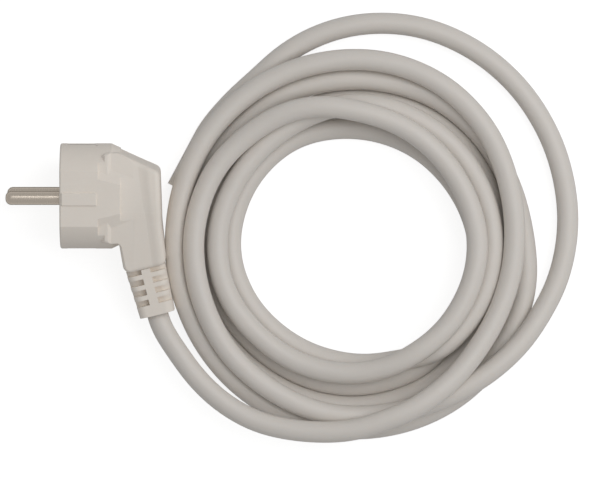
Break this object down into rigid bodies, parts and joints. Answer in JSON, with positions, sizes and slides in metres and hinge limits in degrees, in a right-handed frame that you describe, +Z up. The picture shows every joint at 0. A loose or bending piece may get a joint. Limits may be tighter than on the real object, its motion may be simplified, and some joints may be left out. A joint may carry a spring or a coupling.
{
  "type": "power cord",
  "caption": "Round mains lead in a loose coil, with an angled moulded plug: round pins, earth socket, side earth contacts and slotted strain relief; far end cut off.",
  "frame": {"origin": "on the floor, under the middle of the plug's own box (pins included, lead left out)", "axes": "the pins point to -X, the lead leaves the plug towards -Y, +Z is up; the coil lies towards +X"},
  "size_m": [0.2012, 0.1521, 0.0331],
  "materials": {
    "body": "satin moulded soft plastic",
    "sheath": "satin extruded soft plastic",
    "pin": "nickel plated",
    "insert": "hard moulded plastic",
    "contact": "plated spring metal",
    "core_live": "brown insulation",
    "core_neutral": "blue insulation",
    "core_earth": "green and yellow insulation",
    "copper": "bare copper strands"
  },
  "bodies": {
    "root": {"plug_body": "body", "cord_lead": "sheath", "cord_coil": "sheath", "cord_outer_loop": "sheath", "cord_end_sheath": "sheath", "sheath_tail": "sheath", "pin_live": "pin", "pin_neutral": "pin", "pin_bridge": "insert", "earth_sleeve": "contact", "earth_strip": "contact", "core_live": "core_live", "copper_live": "copper", "core_neutral": "core_neutral", "copper_neutral": "copper", "core_earth": "core_earth", "copper_earth": "copper", "cord_end_core_live": "core_live", "cord_end_copper_live": "copper", "cord_end_core_neutral": "core_neutral", "cord_end_copper_neutral": "copper", "cord_end_core_earth": "core_earth", "cord_end_copper_earth": "copper"}
  },
  "joints": []
}
